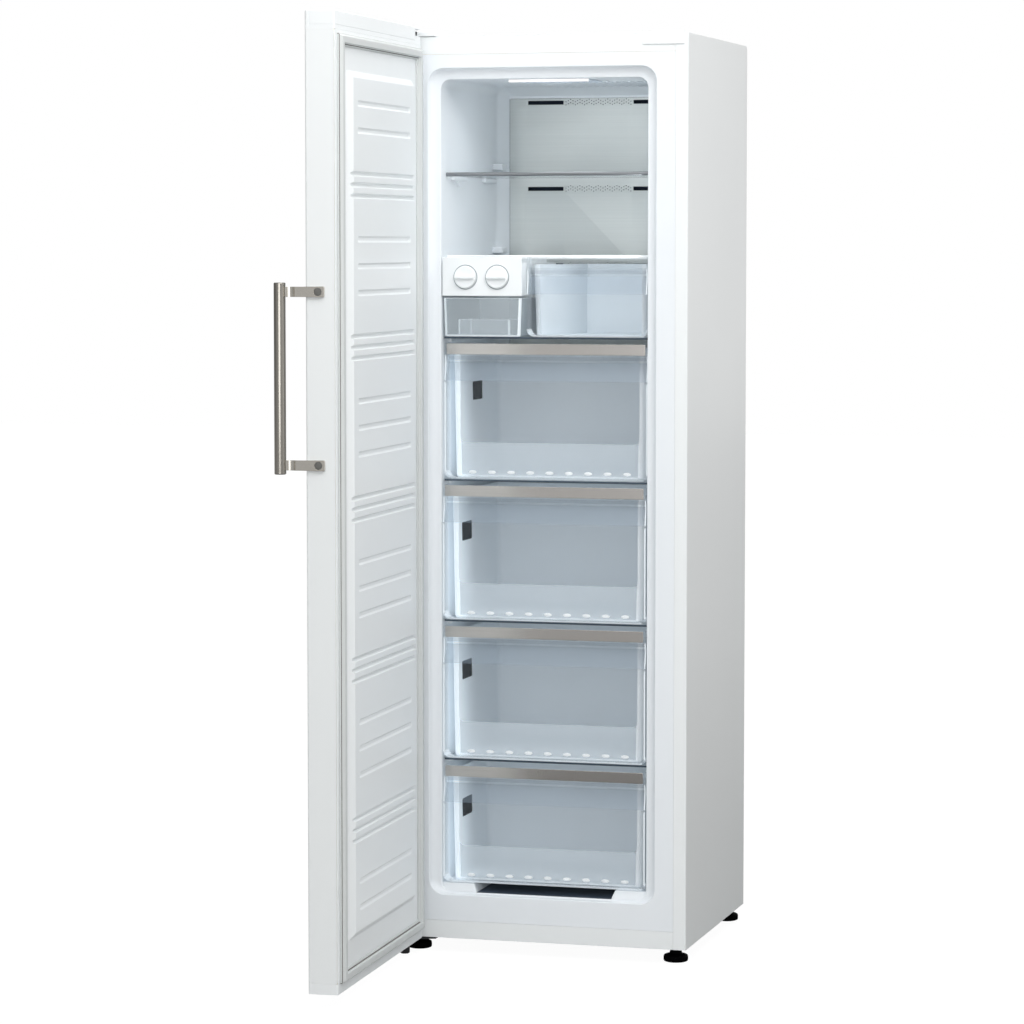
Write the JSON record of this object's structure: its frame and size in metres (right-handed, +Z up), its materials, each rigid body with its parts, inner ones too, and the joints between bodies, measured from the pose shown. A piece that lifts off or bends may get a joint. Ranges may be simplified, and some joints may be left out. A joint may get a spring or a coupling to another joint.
{
  "type": "upright freezer",
  "caption": "Tall free-standing no-frost freezer with an open left-hung insulated door, glass shelves, clear pull-out drawers, a twist ice maker and a vertical bar handle.",
  "frame": {"origin": "on the floor under the middle of the bounding box of the freezer with its door open at rest", "axes": "+Z up, +Y from the front of the cabinet to its back, +X to the right seen from the front"},
  "size_m": [0.6388, 1.1658, 1.855],
  "materials": {
    "white_paint": "gloss",
    "white_plastic": "satin",
    "liner_plastic": "satin",
    "insulation_foam": "matte",
    "zinc_steel": "satin",
    "black_paint": "satin",
    "black_plastic": "matte",
    "base_plastic": "matte",
    "duct_steel": "satin",
    "coil_aluminium": "satin",
    "glass": "polished",
    "strip_steel": "satin",
    "clear_plastic": "gloss",
    "frosted_plastic": "satin",
    "gasket_grey": "matte",
    "handle_steel": "satin"
  },
  "bodies": {
    "cabinet": {"cabinet_shell": "white_paint", "rear_panel": "zinc_steel", "foam_insulation": "insulation_foam", "inner_liner": "liner_plastic", "top_fascia": "white_paint", "plinth": "white_paint", "base_frame": "base_plastic", "compressor": "black_paint", "drip_tray": "black_plastic", "compartment_cover": "zinc_steel", "upper_hinge": "zinc_steel", "hinge_cover_left": "white_plastic", "hinge_cover_right": "white_plastic", "lower_hinge": "black_paint", "air_duct_panel": "duct_steel", "evaporator": "coil_aluminium", "light_cover": "frosted_plastic", "shelf_1_glass": "glass", "shelf_1_trim": "strip_steel", "shelf_2_glass": "glass", "shelf_2_trim": "white_plastic", "shelf_3_glass": "glass", "shelf_4_glass": "glass", "shelf_5_glass": "glass", "shelf_6_glass": "glass", "ice_maker_housing": "white_plastic"},
    "door": {"door_skin": "white_paint", "door_foam": "insulation_foam", "door_liner": "liner_plastic", "door_gasket": "gasket_grey", "door_top_cap": "white_plastic", "door_bottom_cap": "white_plastic", "handle_bar": "handle_steel", "handle_bracket_upper": "handle_steel", "handle_bracket_lower": "handle_steel"},
    "small_drawer": {"small_drawer_bin": "frosted_plastic", "small_drawer_front": "clear_plastic"},
    "ice_box": {"ice_box": "clear_plastic", "ice_scoop_tray": "clear_plastic"},
    "ice_tray_left": {"ice_knob_left": "white_plastic", "ice_tray_left": "frosted_plastic"},
    "ice_tray_right": {"ice_knob_right": "white_plastic", "ice_tray_right": "frosted_plastic"},
    "evaporator_fan": {"evaporator_fan": "white_plastic"},
    "foot_front_left": {"foot_front_left": "black_plastic"},
    "foot_front_right": {"foot_front_right": "black_plastic"},
    "foot_rear_left": {"foot_rear_left": "black_plastic"},
    "foot_rear_right": {"foot_rear_right": "black_plastic"},
    "drawer_1": {"drawer_1_bin": "frosted_plastic", "drawer_1_front": "clear_plastic", "drawer_1_strip": "strip_steel"},
    "drawer_2": {"drawer_2_bin": "frosted_plastic", "drawer_2_front": "clear_plastic", "drawer_2_strip": "strip_steel"},
    "drawer_3": {"drawer_3_bin": "frosted_plastic", "drawer_3_front": "clear_plastic", "drawer_3_strip": "strip_steel"},
    "drawer_4": {"drawer_4_bin": "frosted_plastic", "drawer_4_front": "clear_plastic", "drawer_4_strip": "strip_steel"}
  },
  "joints": [
    {"name": "door_hinge", "type": "hinge", "parent": "cabinet", "child": "door", "pos_m": [-0.2504, 0.0013, 0.9], "axis": [0, 0, -1], "range_deg": [-88.1, 21.9]},
    {"name": "small_drawer_slide", "type": "slide", "parent": "cabinet", "child": "small_drawer", "axis": [0, -1, 0], "range_m": [0, 0.22]},
    {"name": "ice_box_slide", "type": "slide", "parent": "cabinet", "child": "ice_box", "axis": [0, -1, 0], "range_m": [0, 0.2]},
    {"name": "drawer_1_slide", "type": "slide", "parent": "cabinet", "child": "drawer_1", "axis": [0, -1, 0], "range_m": [0, 0.28]},
    {"name": "drawer_2_slide", "type": "slide", "parent": "cabinet", "child": "drawer_2", "axis": [0, -1, 0], "range_m": [0, 0.28]},
    {"name": "drawer_3_slide", "type": "slide", "parent": "cabinet", "child": "drawer_3", "axis": [0, -1, 0], "range_m": [0, 0.28]},
    {"name": "drawer_4_slide", "type": "slide", "parent": "cabinet", "child": "drawer_4", "axis": [0, -1, 0], "range_m": [0, 0.2]},
    {"name": "ice_tray_left_twist", "type": "hinge", "parent": "cabinet", "child": "ice_tray_left", "pos_m": [-0.13975, 0.0608, 1.3615], "axis": [0, 1, 0], "range_deg": [0, 120], "stiffness_Nm_per_rad": 0.2},
    {"name": "ice_tray_right_twist", "type": "hinge", "parent": "cabinet", "child": "ice_tray_right", "pos_m": [-0.07385, 0.0608, 1.3615], "axis": [0, 1, 0], "range_deg": [0, 120], "stiffness_Nm_per_rad": 0.2},
    {"name": "evaporator_fan_spin", "type": "hinge", "parent": "cabinet", "child": "evaporator_fan", "pos_m": [0.0221, 0.5173, 0.93], "axis": [0, 1, 0], "continuous": true},
    {"name": "foot_front_left_turn", "type": "hinge", "parent": "cabinet", "child": "foot_front_left", "pos_m": [-0.2454, 0.0868, 0.02], "axis": [0, 0, 1], "continuous": true},
    {"name": "foot_front_right_turn", "type": "hinge", "parent": "cabinet", "child": "foot_front_right", "pos_m": [0.2896, 0.0868, 0.02], "axis": [0, 0, 1], "continuous": true},
    {"name": "foot_rear_left_turn", "type": "hinge", "parent": "cabinet", "child": "foot_rear_left", "pos_m": [-0.2454, 0.5518, 0.02], "axis": [0, 0, 1], "continuous": true},
    {"name": "foot_rear_right_turn", "type": "hinge", "parent": "cabinet", "child": "foot_rear_right", "pos_m": [0.2896, 0.5518, 0.02], "axis": [0, 0, 1], "continuous": true}
  ]
}
